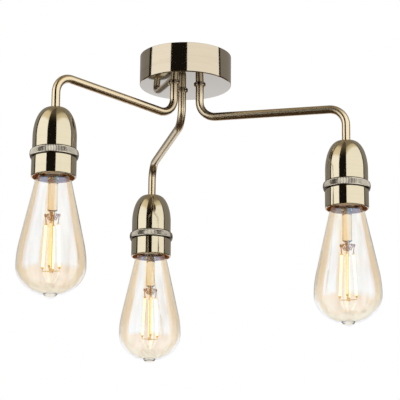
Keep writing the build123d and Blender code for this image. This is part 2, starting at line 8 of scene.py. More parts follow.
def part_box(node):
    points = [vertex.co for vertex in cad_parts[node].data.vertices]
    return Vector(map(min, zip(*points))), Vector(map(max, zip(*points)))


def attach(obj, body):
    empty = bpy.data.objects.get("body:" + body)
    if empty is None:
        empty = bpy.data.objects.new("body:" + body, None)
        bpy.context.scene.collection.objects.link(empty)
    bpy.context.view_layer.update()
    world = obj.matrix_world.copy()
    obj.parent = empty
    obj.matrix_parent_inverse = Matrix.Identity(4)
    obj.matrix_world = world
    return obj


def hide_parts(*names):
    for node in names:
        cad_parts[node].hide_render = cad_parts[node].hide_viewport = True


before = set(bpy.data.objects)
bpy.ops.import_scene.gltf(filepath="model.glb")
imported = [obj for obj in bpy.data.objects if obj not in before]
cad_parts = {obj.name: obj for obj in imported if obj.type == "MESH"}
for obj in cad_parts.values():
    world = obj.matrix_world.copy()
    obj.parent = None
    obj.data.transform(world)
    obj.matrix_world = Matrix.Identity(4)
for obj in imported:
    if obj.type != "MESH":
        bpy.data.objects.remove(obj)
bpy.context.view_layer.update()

mm = 0.001
weldGap = 0.002 * mm  # points closer than this become one
slimEdge = 0.0005 * mm  # faces with edges shorter than this are dissolved
sides = ("left", "rear", "right")
scene = bpy.context.scene


# places read from the frame, and outlines for spun pieces

def holderTop(side):
    # the point where the lampholder's axis meets the top of its dome
    low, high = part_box(side + "_holder_dome")
    return Vector(((low.x + high.x) / 2, (low.y + high.y) / 2, high.z))


def outward(side):
    return Vector((holderTop(side).x, holderTop(side).y, 0)).normalized()


def arcPoints(centre, radiusX, radiusZ, start, end, steps):
    points = []
    for step in range(steps + 1):
        turn = math.radians(start + (end - start) * step / steps)
        points.append((centre[0] + radiusX * math.cos(turn), centre[1] + radiusZ * math.sin(turn)))
    return points


def roundedCorner(before, corner, after, radius, steps=6):
    # points of an arc that softens one corner of an outline
    corner = Vector(corner)
    into = (corner - Vector(before)).normalized()
    out = (Vector(after) - corner).normalized()
    bend = into.angle(out)
    back = radius * math.tan(bend / 2)
    start = corner - into * back
    across = (out - into).normalized()
    centre = corner + across * (radius / math.cos(bend / 2))
    points = []
    for step in range(steps + 1):
        edge = start.lerp(corner + out * back, step / steps)
        points.append(tuple(centre + (edge - centre).normalized() * radius))
    return points


def softened(outline):
    # an outline of (radius, height) points; a third number rounds that corner
    points = []
    for index, point in enumerate(outline):
        if len(point) == 3:
            before = outline[index - 1][:2]
            after = outline[(index + 1) % len(outline)][:2]
            points += roundedCorner(before, point[:2], after, point[2])
        else:
            points.append(point)
    return points


def drawOutline(bm, outline, closed):
    # an outline of (radius, height) in mm, drawn beside the Z axis
    verts = [bm.verts.new((radius * mm, 0, height * mm)) for radius, height in outline]
    edges = [bm.edges.new(pair) for pair in zip(verts, verts[1:])]
    if closed:
        edges.append(bm.edges.new((verts[-1], verts[0])))
    return verts + edges


def spinRound(bm, geom, steps, axis=(0, 0, 1)):
    # one full turn about the origin, its seam welded
    bmesh.ops.spin(
        bm, geom=geom, cent=(0, 0, 0), axis=axis, angle=math.tau, steps=steps,
        use_merge=True, use_duplicate=False,
    )
    bmesh.ops.remove_doubles(bm, verts=bm.verts[:], dist=weldGap)


def lathe(outline, steps, closed=True):
    bm = bmesh.new()
    spinRound(bm, drawOutline(bm, outline, closed), steps)
    bmesh.ops.dissolve_degenerate(bm, edges=bm.edges[:], dist=slimEdge)
    bmesh.ops.recalc_face_normals(bm, faces=bm.faces[:])
    return bm


def extrudeEdges(bm, edges, vector):
    # the new verts and edges at the far end of a wall drawn from these edges
    new = bmesh.ops.extrude_edge_only(bm, edges=edges)["geom"]
    verts = [item for item in new if isinstance(item, bmesh.types.BMVert)]
    bmesh.ops.translate(bm, verts=verts, vec=vector)
    return [
        item for item in new
        if isinstance(item, bmesh.types.BMEdge) and all(vert in verts for vert in item.verts)
    ]


def edgesOf(verts):
    return list({edge for vert in verts for edge in vert.link_edges})


def paint(bm, tone):
    # the index of a material in the piece's list
    for face in bm.faces:
        face.material_index = tone


def joined(meshes):
    # several bmeshes in one
    whole = bmesh.new()
    for bm in meshes:
        part = bpy.data.meshes.new("part")
        bm.to_mesh(part)
        bm.free()
        whole.from_mesh(part)
        bpy.data.meshes.remove(part)
    return whole


def newPiece(bm, name, materials):
    mesh = bpy.data.meshes.new(name)
    bm.to_mesh(mesh)
    bm.free()
    for material in materials:
        mesh.materials.append(material)
    piece = bpy.data.objects.new(name, mesh)
    scene.collection.objects.link(piece)
    return piece


def dress(bm, name, node, body, looks, place=(0, 0, 0), turn=0.0, smoothAngle=32):
    # the finished piece stands at the origin: its turn and its place are in its mesh
    if turn:
        bmesh.ops.rotate(
            bm, verts=bm.verts[:], cent=(0, 0, 0), matrix=Matrix.Rotation(turn, 3, "Z"),
        )
    bmesh.ops.translate(bm, verts=bm.verts[:], vec=place)
    piece = newPiece(bm, name, [finishes[look] for look in looks])
    piece.data.shade_smooth()
    piece.data.set_sharp_from_angle(angle=math.radians(smoothAngle))
    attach(piece, body)
    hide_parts(node)
    return piece


print("frame loaded")


# nodes

def link(tree, fromSocket, toSocket):
    tree.links.new(fromSocket, toSocket)


def feed(tree, socket, value):
    # a number, a colour or another socket
    if isinstance(value, (int, float)):
        socket.default_value = value
    elif isinstance(value, tuple):
        socket.default_value = (*value, 1)
    else:
        link(tree, value, socket)


def mathNode(tree, operation, first, second, clamp=False):
    node = tree.nodes.new("ShaderNodeMath")
    node.operation = operation
    node.use_clamp = clamp
    feed(tree, node.inputs[0], first)
    feed(tree, node.inputs[1], second)
    return node.outputs[0]


def mixColour(tree, factor, first, second, blend="MIX"):
    node = tree.nodes.new("ShaderNodeMix")
    node.data_type = "RGBA"
    node.blend_type = blend
    feed(tree, node.inputs[0], factor)
    feed(tree, node.inputs[6], first)  # the two colours of a mix are its inputs 6 and 7
    feed(tree, node.inputs[7], second)
    return node.outputs[2]


def addNoise(tree, vector, scale, detail, roughness=0.5):
    node = tree.nodes.new("ShaderNodeTexNoise")
    feed(tree, node.inputs["Scale"], scale)
    node.inputs["Detail"].default_value = detail
    node.inputs["Roughness"].default_value = roughness
    link(tree, vector, node.inputs["Vector"])
    return node.outputs["Fac"]


def newStretch(tree, vector):
    # multiplies a place by the three factors on its second input
    node = tree.nodes.new("ShaderNodeVectorMath")
    node.operation = "MULTIPLY"
    link(tree, vector, node.inputs[0])
    return node


def addRamp(tree, value, stops):
    node = tree.nodes.new("ShaderNodeValToRGB")
    elements = node.color_ramp.elements
    while len(elements) < len(stops):
        elements.new(0.5)
    for element, (position, colour) in zip(elements, stops):
        element.position = position
        element.color = (*colour, 1)
    link(tree, value, node.inputs["Fac"])
    return node.outputs["Color"]


def heightRamp(tree, place, stops):
    # colours by height, the heights in metres and rising
    split = tree.nodes.new("ShaderNodeSeparateXYZ")
    link(tree, place, split.inputs[0])
    low, high = stops[0][0], stops[-1][0]
    spread = tree.nodes.new("ShaderNodeMapRange")
    spread.inputs["From Min"].default_value = low
    spread.inputs["From Max"].default_value = high
    link(tree, split.outputs["Z"], spread.inputs["Value"])
    shares = [((height - low) / (high - low), colour) for height, colour in stops]
    return addRamp(tree, spread.outputs["Result"], shares)


def newGroup(name, inputs, outputs):
    group = bpy.data.node_groups.new(name, "ShaderNodeTree")
    for label, kind, default in inputs:
        socket = group.interface.new_socket(name=label, in_out="INPUT", socket_type=kind)
        if default is not None:
            socket.default_value = default
    for label, kind in outputs:
        group.interface.new_socket(name=label, in_out="OUTPUT", socket_type=kind)
    source = group.nodes.new("NodeGroupInput")
    sink = group.nodes.new("NodeGroupOutput")
    return group, source.outputs, sink.inputs


# fine lines left by a brush that runs round the piece, and soft blotches of age
brushLook = {
    "across": 14.0, "lineDetail": 1.5, "lineGrain": 0.6, "lineMiddle": 0.5,
    "blotchScale": 55.0, "blotchDetail": 3.0, "blotchStart": 0.42, "roughSwing": 0.25,
}
brushGroup, brushIn, brushOut = newGroup(
    "brushedMetal",
    (
        ("Vector", "NodeSocketVector", None),
        ("Colour", "NodeSocketColor", (0.6, 0.5, 0.35, 1)),
        ("Dark", "NodeSocketColor", (0.3, 0.2, 0.1, 1)),
        ("Line density", "NodeSocketFloat", 2600.0),
        ("Line strength", "NodeSocketFloat", 0.12),
        ("Age", "NodeSocketFloat", 0.15),
        ("Roughness", "NodeSocketFloat", 0.2),
    ),
    (("Colour", "NodeSocketColor"), ("Roughness", "NodeSocketFloat")),
)
lineScale = brushGroup.nodes.new("ShaderNodeCombineXYZ")
lineScale.inputs[0].default_value = brushLook["across"]
lineScale.inputs[1].default_value = brushLook["across"]
link(brushGroup, brushIn["Line density"], lineScale.inputs[2])
lineStretch = newStretch(brushGroup, brushIn["Vector"])
link(brushGroup, lineScale.outputs[0], lineStretch.inputs[1])
lines = addNoise(
    brushGroup, lineStretch.outputs[0], 1, brushLook["lineDetail"], brushLook["lineGrain"],
)
blotches = addNoise(
    brushGroup, brushIn["Vector"], brushLook["blotchScale"], brushLook["blotchDetail"],
)
lineTone = mathNode(brushGroup, "SUBTRACT", lines, brushLook["lineMiddle"])
lineTone = mathNode(brushGroup, "MULTIPLY", lineTone, brushIn["Line strength"])
ageTone = mathNode(brushGroup, "SUBTRACT", blotches, brushLook["blotchStart"])
ageTone = mathNode(brushGroup, "MULTIPLY", ageTone, brushIn["Age"])
darkShare = mathNode(brushGroup, "ADD", lineTone, ageTone, clamp=True)
brushTone = mixColour(brushGroup, darkShare, brushIn["Colour"], brushIn["Dark"])
link(brushGroup, brushTone, brushOut["Colour"])
roughShift = mathNode(brushGroup, "MULTIPLY", lineTone, brushLook["roughSwing"])
brushRough = mathNode(brushGroup, "ADD", brushIn["Roughness"], roughShift)
link(brushGroup, brushRough, brushOut["Roughness"])

# plain moulded or fired stuff: a slight change of tone and a fine pebble
mouldLook = {"detail": 3.0, "roughSwing": 0.12, "bumpDepth": 0.05 * mm}
mouldGroup, mouldIn, mouldOut = newGroup(
    "mouldedTone",
    (
        ("Vector", "NodeSocketVector", None),
        ("Colour", "NodeSocketColor", (0.5, 0.5, 0.5, 1)),
        ("Shift", "NodeSocketColor", (0.4, 0.4, 0.4, 1)),
        ("Scale", "NodeSocketFloat", 400.0),
        ("Roughness", "NodeSocketFloat", 0.45),
    ),
    (
        ("Colour", "NodeSocketColor"), ("Roughness", "NodeSocketFloat"),
        ("Height", "NodeSocketFloat"),
    ),
)
pebble = addNoise(mouldGroup, mouldIn["Vector"], mouldIn["Scale"], mouldLook["detail"])
mouldTone = mixColour(mouldGroup, pebble, mouldIn["Colour"], mouldIn["Shift"])
link(mouldGroup, mouldTone, mouldOut["Colour"])
pebbleRough = mathNode(mouldGroup, "MULTIPLY", pebble, mouldLook["roughSwing"])
mouldRough = mathNode(mouldGroup, "ADD", mouldIn["Roughness"], pebbleRough)
link(mouldGroup, mouldRough, mouldOut["Roughness"])
link(mouldGroup, pebble, mouldOut["Height"])


# materials

def newMaterial(name):
    material = bpy.data.materials.new(name)
    material.use_nodes = True
    tree = material.node_tree
    shader = tree.nodes["Principled BSDF"]
    place = tree.nodes.new("ShaderNodeTexCoord")
    return material, tree, shader, place.outputs["Object"]


def addGroup(tree, shader, group, vector, values):
    # the group gives the shader its colour and its roughness
    node = tree.nodes.new("ShaderNodeGroup")
    node.node_tree = group
    link(tree, vector, node.inputs["Vector"])
    for label, value in values.items():
        feed(tree, node.inputs[label], value)
    link(tree, node.outputs["Colour"], shader.inputs["Base Color"])
    link(tree, node.outputs["Roughness"], shader.inputs["Roughness"])
    return node


def metal(
    name, colour, dark, roughness, density, lines, age, anisotropic=0.0, along=None, metallic=1.0,
):
    material, tree, shader, place = newMaterial(name)
    values = {
        "Colour": colour, "Dark": dark, "Line density": density, "Line strength": lines,
        "Age": age, "Roughness": roughness,
    }
    addGroup(tree, shader, brushGroup, place, values)
    shader.inputs["Metallic"].default_value = metallic
    shader.inputs["Anisotropic"].default_value = anisotropic
    if along:
        # satin along a bent tube: the piece keeps its own direction at each point
        direction = tree.nodes.new("ShaderNodeAttribute")
        direction.attribute_name = along
        link(tree, direction.outputs["Vector"], shader.inputs["Tangent"])
    elif anisotropic:
        # a quarter turn makes the blur run across the lines
        shader.inputs["Anisotropic Rotation"].default_value = 0.25
        tangent = tree.nodes.new("ShaderNodeTangent")
        tangent.direction_type = "RADIAL"
        tangent.axis = "Z"
        link(tree, tangent.outputs[0], shader.inputs["Tangent"])
    return material


def moulded(name, colour, shift, roughness, scale, bump=0.0):
    material, tree, shader, place = newMaterial(name)
    values = {"Colour": colour, "Shift": shift, "Scale": scale, "Roughness": roughness}
    toned = addGroup(tree, shader, mouldGroup, place, values)
    if bump:
        relief = tree.nodes.new("ShaderNodeBump")
        relief.inputs["Strength"].default_value = bump
        relief.inputs["Distance"].default_value = mouldLook["bumpDepth"]
        link(tree, toned.outputs["Height"], relief.inputs["Height"])
        link(tree, relief.outputs["Normal"], shader.inputs["Normal"])
    return material


# faint upright amber streaks are painted into the glass colour, a painted reflection
streakReflectionLook = {"streakScale": (170, 170, 9), "streakDetail": 1, "streakStart": 0.47}


def tintedGlass(name, heights, rims, rimShares, ior, roughness, reflectionStreaks, film=0.0, filmIor=1.33):
    # paler in the middle and warmer where the wall is seen edge on, with a thin lustre film
    material, tree, shader, place = newMaterial(name)
    middle = heightRamp(tree, place, heights)
    facing = tree.nodes.new("ShaderNodeLayerWeight")
    facing.inputs["Blend"].default_value = 0.5
    rim = addRamp(tree, facing.outputs["Facing"], rims)
    # painted reflection: upright streaks of the edge-on amber mixed into the glass colour
    stretched = newStretch(tree, place)
    stretched.inputs[1].default_value = streakReflectionLook["streakScale"]
    drift = addNoise(tree, stretched.outputs[0], 1, streakReflectionLook["streakDetail"])
    tone = mathNode(tree, "SUBTRACT", drift, streakReflectionLook["streakStart"])
    tone = mathNode(tree, "MULTIPLY", tone, reflectionStreaks, clamp=True)
    both = mixColour(tree, heightRamp(tree, place, rimShares), middle, rim, blend="MULTIPLY")
    link(tree, mixColour(tree, tone, both, rims[-1][1]), shader.inputs["Base Color"])
    shader.inputs["Transmission Weight"].default_value = 1
    shader.inputs["Roughness"].default_value = roughness
    shader.inputs["IOR"].default_value = ior
    shader.inputs["Thin Film Thickness"].default_value = film
    shader.inputs["Thin Film IOR"].default_value = filmIor
    return material


glowLook = {"scale": 420, "detail": 2, "roughness": 0.5}


def glowing(name, core, edge, strength):
    # a coated strip that shines, its coat a little uneven
    material, tree, shader, place = newMaterial(name)
    grain = addNoise(tree, place, glowLook["scale"], glowLook["detail"])
    toned = mixColour(tree, grain, core, edge)
    link(tree, toned, shader.inputs["Emission Color"])
    link(tree, toned, shader.inputs["Base Color"])
    shader.inputs["Emission Strength"].default_value = strength
    shader.inputs["Roughness"].default_value = glowLook["roughness"]
    material.cycles.emission_sampling = "NONE"
    return material


metals = {
    "canopyWall": dict(
        colour=(0.515, 0.45, 0.345), dark=(0.30, 0.24, 0.15), roughness=0.1, density=430,
        lines=0.55, age=0.12, anisotropic=0.9,
    ),
    "canopyFace": dict(
        colour=(0.40, 0.375, 0.34), dark=(0.33, 0.30, 0.26), roughness=0.05, density=900,
        lines=0.05, age=0.12,
    ),
    "canopyInside": dict(
        colour=(0.42, 0.36, 0.26), dark=(0.24, 0.19, 0.12), roughness=0.38, density=1500,
        lines=0.4, age=0.6,
    ),
    "armBrass": dict(
        colour=(0.66, 0.555, 0.385), dark=(0.34, 0.24, 0.13), roughness=0.2, density=60,
        lines=0.1, age=0.25, anisotropic=0.9, along="along",
    ),
    "collarBrass": dict(
        colour=(0.44, 0.37, 0.26), dark=(0.20, 0.15, 0.09), roughness=0.06, density=900,
        lines=0.1, age=0.25,
    ),
    "holderBrass": dict(
        colour=(0.565, 0.505, 0.375), dark=(0.32, 0.24, 0.13), roughness=0.1, density=800,
        lines=0.3, age=0.14, anisotropic=0.85,
    ),
    "holderInside": dict(
        colour=(0.92, 0.36, 0.12), dark=(0.58, 0.19, 0.06), roughness=0.35, density=900,
        lines=0.3, age=0.5, metallic=0.1,
    ),
    "ringBrass": dict(
        colour=(0.60, 0.56, 0.48), dark=(0.28, 0.23, 0.16), roughness=0.2, density=1400,
        lines=0.25, age=0.4,
    ),
    # a darker copy of the ring brass, painted shade down in the knurl grooves
    "ringGrooveShade": dict(
        colour=(0.24, 0.21, 0.16), dark=(0.14, 0.11, 0.07), roughness=0.3, density=1400,
        lines=0.2, age=0.4,
    ),
    # a near-black brass used as painted shade: the dark line on the dome just above the ring, and
    # the ring's top, chamfer and underside
    "paintedShadeBrass": dict(
        colour=(0.10, 0.075, 0.045), dark=(0.05, 0.035, 0.02), roughness=0.35, density=1600,
        lines=0.3, age=0.4,
    ),
    "capBrass": dict(
        colour=(0.80, 0.46, 0.24), dark=(0.44, 0.22, 0.10), roughness=0.25, density=1400,
        lines=0.2, age=0.4, metallic=0.7,
    ),
    "shellBrass": dict(
        colour=(0.66, 0.50, 0.28), dark=(0.36, 0.25, 0.12), roughness=0.24, density=1400,
        lines=0.2, age=0.4,
    ),
    "screwBrass": dict(
        colour=(0.66, 0.54, 0.36), dark=(0.34, 0.26, 0.14), roughness=0.22, density=1800,
        lines=0.2, age=0.4,
    ),
    "zincSteel": dict(
        colour=(0.62, 0.62, 0.60), dark=(0.40, 0.40, 0.38), roughness=0.32, density=700,
        lines=0.3, age=0.7,
    ),
    "platedSteel": dict(
        colour=(0.68, 0.67, 0.65), dark=(0.42, 0.41, 0.40), roughness=0.22, density=2000,
        lines=0.25, age=0.5,
    ),
    "contactBrass": dict(
        colour=(0.70, 0.56, 0.30), dark=(0.42, 0.30, 0.14), roughness=0.28, density=1400,
        lines=0.2, age=0.5,
    ),
    "supportWire": dict(
        colour=(0.56, 0.27, 0.08), dark=(0.34, 0.15, 0.04), roughness=0.3, density=900,
        lines=0.2, age=0.4, metallic=0.5,
    ),
    "tipBrass": dict(
        colour=(0.80, 0.60, 0.22), dark=(0.50, 0.34, 0.10), roughness=0.3, density=900,
        lines=0.2, age=0.4,
    ),
    "solderTin": dict(
        colour=(0.60, 0.60, 0.60), dark=(0.40, 0.40, 0.41), roughness=0.3, density=500,
        lines=0.2, age=0.8,
    ),
}
mouldings = {
    "blockPlastic": dict(
        colour=(0.78, 0.77, 0.72), shift=(0.70, 0.69, 0.63), roughness=0.42, scale=700, bump=0.15,
    ),
    "coreCeramic": dict(
        colour=(0.40, 0.15, 0.06), shift=(0.30, 0.11, 0.045), roughness=0.28, scale=600, bump=0.1,
    ),
    "insulatorGlass": dict(
        colour=(0.02, 0.018, 0.02), shift=(0.035, 0.03, 0.03), roughness=0.12, scale=300,
    ),
    "liveSleeve": dict(
        colour=(0.25, 0.10, 0.045), shift=(0.21, 0.085, 0.04), roughness=0.4, scale=900, bump=0.08,
    ),
}
# heights in metres under the ceiling; rims go from face on to edge on
glasses = {
    "bulbGlass": dict(
        heights=(
            (-0.265, (1.0, 0.995, 0.985)), (-0.245, (0.985, 0.965, 0.935)),
            (-0.225, (0.97, 0.935, 0.87)), (-0.20, (0.985, 0.96, 0.91)),
        ),
        rims=((0.30, (1.0, 1.0, 1.0)), (0.40, (0.86, 0.75, 0.61)), (1.0, (0.80, 0.70, 0.58))),
        rimShares=((-0.265, (0.0, 0.0, 0.0)), (-0.238, (1.0, 1.0, 1.0))),
        ior=1.45, roughness=0.0, reflectionStreaks=1.6, film=178, filmIor=1.9,
    ),
    "stemGlass": dict(
        heights=(
            (-0.20, (0.95, 0.80, 0.52)), (-0.17, (0.975, 0.90, 0.74)), (-0.15, (0.99, 0.97, 0.93)),
        ),
        rims=((0.25, (1.0, 1.0, 1.0)), (0.5, (0.84, 0.68, 0.46)), (1.0, (0.70, 0.48, 0.26))),
        rimShares=((-0.3, (1.0, 1.0, 1.0)), (0.0, (1.0, 1.0, 1.0))),
        ior=1.5, roughness=0.02, reflectionStreaks=0.8,
    ),
}
strips = {
    "ledStrip": dict(core=(1.0, 0.93, 0.66), edge=(1.0, 0.84, 0.50), strength=1.45),
    "ledStripFront": dict(core=(0.98, 0.84, 0.48), edge=(0.90, 0.66, 0.30), strength=0.8),
}
finishes = {name: metal(name, **look) for name, look in metals.items()}
finishes.update({name: moulded(name, **look) for name, look in mouldings.items()})
finishes.update({name: tintedGlass(name, **look) for name, look in glasses.items()})
finishes.update({name: glowing(name, **look) for name, look in strips.items()})
print("materials made")


# canopy

canopySizes = {
    "radius": 45.0, "height": 30.0, "wall": 1.0, "edge": 1.2, "lip": 0.35, "around": 192,
    "faceShare": 0.99, "faceNormal": -0.9, "insideGap": 0.1,
}


def makeCanopy():
    size = canopySizes
    radius, height, wall = size["radius"], size["height"], size["wall"]
    outline = softened([
        (0, -height),
        (radius, -height, size["edge"]),
        (radius, 0, size["lip"]),
        (radius - wall, 0, size["lip"]),
        (radius - wall, wall - height, size["edge"]),
        (0, wall - height),
    ])
    bm = lathe(outline, size["around"], closed=False)
    faceHeight = -size["faceShare"] * height * mm
    for face in bm.faces:
        centre = face.calc_center_median()
        if face.normal.z < size["faceNormal"] and centre.z < faceHeight:
            face.material_index = 1
        elif centre.xy.length / mm < radius - wall + size["insideGap"]:
            face.material_index = 2
    looks = ("canopyWall", "canopyFace", "canopyInside")
    dress(bm, "canopyCup", "canopy", "root", looks)


makeCanopy()
print("canopy made")


# arms and collars

armSizes = {
    "radius": 4.0, "wall": 1.0, "bend": 17.0, "foot": 14.9, "reach": 161.5, "depth": 64.1,
    "tail": 33.3, "standIn": 8.5, "top": -23.2, "around": 56, "bendSteps": 40,
}


def addDirections(piece, away, bends, straight):
    # the way the tube runs, kept at each point of its wall
    size = armSizes
    unturn = Matrix.Rotation(-math.atan2(away.y, away.x), 3, "Z")
    turnBack = unturn.transposed()
    across = Vector((0, 1, 0))
    vertical = Vector((0, 0, -1))
    footEnd = size["foot"] + 2 * size["radius"]
    tailStart = size["reach"] - 2 * size["radius"]
    values = []
    for vert in piece.data.vertices:
        point = unturn @ vert.co / mm
        first, second = (Vector((point.x, 0, point.z)) - centre for centre in bends)
        if point.x < bends[0].x and first.z < 0:
            way = first.cross(across)
        elif point.x > bends[1].x and second.z > 0:
            way = second.cross(across)
        elif point.x < footEnd or point.x > tailStart:
            way = vertical
        else:
            way = straight
        values.extend(turnBack @ way.normalized())
    direction = piece.data.attributes.new("along", "FLOAT_VECTOR", "POINT")
    direction.data.foreach_set("vector", values)


def bendEdges(bm, edges, centre, angle):
    verts = list({vert for edge in edges for vert in edge.verts})
    new = bmesh.ops.spin(
        bm, geom=verts + edges, cent=centre * mm, axis=(0, 1, 0), angle=angle,
        steps=armSizes["bendSteps"], use_merge=False, use_duplicate=False,
    )["geom_last"]
    return [item for item in new if isinstance(item, bmesh.types.BMEdge)]


def makeArm(side):
    # down out of the canopy, out along the slope, and down into the lampholder
    size = armSizes
    rise = holderTop(side).z / mm + size["depth"] + size["tail"]
    cornerOne = Vector((size["foot"], 0, -size["depth"]))
    cornerTwo = Vector((size["reach"], 0, rise - size["depth"]))
    run = Vector((size["reach"] - size["foot"], 0, rise))
    turn = math.pi / 2 + math.atan2(run.z, run.x)
    back = size["bend"] * math.tan(turn / 2)
    length = (cornerTwo - cornerOne).length
    straight = (cornerTwo - cornerOne).normalized()
    centreOne = cornerOne + Vector((size["bend"], 0, back))
    centreTwo = cornerTwo + Vector((-size["bend"], 0, -back))
    low = rise - size["depth"] - size["tail"] - size["standIn"]

    bm = bmesh.new()
    ring = bmesh.ops.create_circle(
        bm, cap_ends=False, segments=size["around"], radius=size["radius"] * mm,
    )["verts"]
    bmesh.ops.translate(bm, verts=ring, vec=Vector((size["foot"], 0, size["top"])) * mm)
    end = edgesOf(ring)
    end = extrudeEdges(bm, end, Vector((0, 0, -size["depth"] + back - size["top"])) * mm)
    end = bendEdges(bm, end, centreOne, -turn)
    end = extrudeEdges(bm, end, straight * (length - back - back) * mm)
    end = bendEdges(bm, end, centreTwo, turn)
    extrudeEdges(bm, end, Vector((0, 0, low - (cornerTwo.z - back))) * mm)
    bmesh.ops.remove_doubles(bm, verts=bm.verts[:], dist=weldGap)
    bmesh.ops.recalc_face_normals(bm, faces=bm.faces[:])
    bmesh.ops.solidify(bm, geom=bm.faces[:], thickness=size["wall"] * mm)

    away = outward(side)
    piece = dress(
        bm, side + "_armTube", side + "_arm", "root", ["armBrass"],
        turn=math.atan2(away.y, away.x),
    )
    addDirections(piece, away, (centreOne, centreTwo), straight)


for side in sides:
    makeArm(side)

collarSizes = {
    "top": -30.0, "discRadius": 5.9, "discHeight": 1.8, "discRound": 0.75, "stepRadius": 4.9,
    "stepHeight": 0.8, "stepRound": 0.27, "stepFoot": 0.15, "bore": 4.05, "around": 72,
}


def makeCollars():
    size = collarSizes
    discLow = size["top"] - size["discHeight"]
    stepLow = discLow - size["stepHeight"]
    outline = softened([
        (size["bore"], size["top"]),
        (size["discRadius"], size["top"], size["discRound"]),
        (size["discRadius"], discLow, size["discRound"]),
        (size["stepRadius"], discLow, size["stepFoot"]),
        (size["stepRadius"], stepLow, size["stepRound"]),
        (size["bore"], stepLow),
    ])
    collars = []
    for side in sides:
        bm = lathe(outline, size["around"])
        bmesh.ops.translate(bm, verts=bm.verts[:], vec=outward(side) * armSizes["foot"] * mm)
        collars.append(bm)
    dress(joined(collars), "armCollarSet", "arm_collars", "root", ["collarBrass"])


makeCollars()
print("arms and collars made")


# lampholders, their heights measured down from the dome's top

domeSizes = {
    "crown": 7.0, "radius": 20.4, "roundHeight": 28.5, "wall": 1.0, "boss": 9.0, "bossThick": 3.0,
    "length": 44.3, "footRadius": 21.6, "footTop": 41.8, "footRound": 0.2, "seatRadius": 20.55,
    # crevice is the height above the dome's foot of the band of painted shade
    "seatTop": 42.3, "bore": 4.05, "crevice": 2.0, "band": 4.0, "insideEnd": 74,
    "outsideSteps": 28, "insideSteps": 20, "around": 144,
}


def makeDome(side):
    size = domeSizes
    inner = size["radius"] - size["wall"]
    roundFoot = (size["crown"], -size["roundHeight"])
    outside = arcPoints(
        roundFoot, size["radius"] - size["crown"], size["roundHeight"], 90, 0,
        size["outsideSteps"],
    )
    inside = arcPoints(
        roundFoot, inner - size["crown"], size["roundHeight"] - size["wall"], 0,
        size["insideEnd"], size["insideSteps"],
    )
    foot = softened([
        (size["radius"], -size["footTop"] + size["band"]),
        (size["radius"], -size["footTop"] + size["crevice"]),
        (size["radius"], -size["footTop"]),
        (size["footRadius"], -size["footTop"], size["footRound"]),
        (size["footRadius"], -size["length"]),
        (size["seatRadius"], -size["length"]),
        (size["seatRadius"], -size["seatTop"]),
        (inner, -size["seatTop"]),
    ])
    boss = [(size["boss"], -size["bossThick"]), (size["bore"], -size["bossThick"])]
    bm = lathe([(size["bore"], 0), *outside, *foot, *inside, *boss], size["around"])
    footHeight = -size["footTop"] * mm
    shadeLineHeight = (size["crevice"] - size["footTop"]) * mm
    for face in bm.faces:
        centre = face.calc_center_median()
        inFoot = centre.z < footHeight
        facesIn = face.normal.xy.dot(centre.xy) < 0
        if facesIn or (inFoot and face.normal.z < -0.5):
            face.material_index = 1
        # a thin band of the dome just above the ring gets painted shade, the dark line where the
        # ring meets it
        elif centre.z < shadeLineHeight and not inFoot:
            face.material_index = 2
    looks = ("holderBrass", "holderInside", "paintedShadeBrass")
    dress(
        bm, side + "_domeShell", side + "_holder_dome", "root", looks,
        place=holderTop(side),
    )


ringSizes = {
    "top": 41.3, "crownLow": 47.3, "bottom": 48.3, "bore": 21.68, "lipTop": 46.3, "lipBore": 21.1,
    "edge": 22.13, "foot": 21.6, "crown": 0.55, "crownSteps": 10, "teeth": 100,
    "toothDepth": 0.28, "toothShares": (0.0, 0.6, 1.0, 0.6), "toothStart": 0.05,
    "toothFade": 0.15, "sideNormal": 0.4,
}


def makeRing(side):
    # a crowned band whose points sink in turn, four to a tooth
    size = ringSizes
    half = (size["crownLow"] - size["top"]) / 2
    crest = []
    for step in range(size["crownSteps"] + 1):
        share = -1 + 2 * step / size["crownSteps"]
        bulge = size["crown"] * (1 - share * share)
        crest.append((size["edge"] + bulge, -size["top"] - half * (1 + share)))
    outline = [
        (size["bore"], -size["top"]), *crest, (size["foot"], -size["bottom"]),
        (size["lipBore"], -size["bottom"]), (size["lipBore"], -size["lipTop"]),
        (size["bore"], -size["lipTop"]),
    ]
    shares = size["toothShares"]
    around = size["teeth"] * len(shares)
    bm = lathe(outline, around)
    limit = (size["edge"] + size["toothStart"]) * mm
    step = math.tau / around
    for vert in bm.verts:
        radius = vert.co.xy.length
        if radius < limit:
            continue
        place = round(math.atan2(vert.co.y, vert.co.x) / step) % len(shares)
        depth = shares[place] * size["toothDepth"] * mm
        rim = min(1.0, (radius - limit) / (size["toothFade"] * mm))
        vert.co.xy *= (radius - depth * rim) / radius
    bm.normal_update()
    for face in bm.faces:
        centre = face.calc_center_median()
        place = int(math.floor(math.atan2(centre.y, centre.x) / step)) % len(shares)
        # faces that look up or down (the ring's top, its chamfer and its underside) get painted
        # shade
        if abs(face.normal.z) > size["sideNormal"]:
            face.material_index = 1
        # the faces down in each knurl groove take the darker copy, as painted shade
        elif centre.xy.length > limit and place in (1, 2):
            face.material_index = 2
    looks = ("ringBrass", "paintedShadeBrass", "ringGrooveShade")
    dress(
        bm, side + "_unionRing", side + "_holder_ring", side + "_ring", looks,
        place=holderTop(side), smoothAngle=24,
    )


skirtSizes = {
    "radius": 20.8, "bore": 19.5, "flangeRadius": 21.52, "flangeRound": 0.1, "top": 44.3,
    "flangeLow": 46.3, "bottom": 66.3, "hem": 0.8, "around": 144,
}


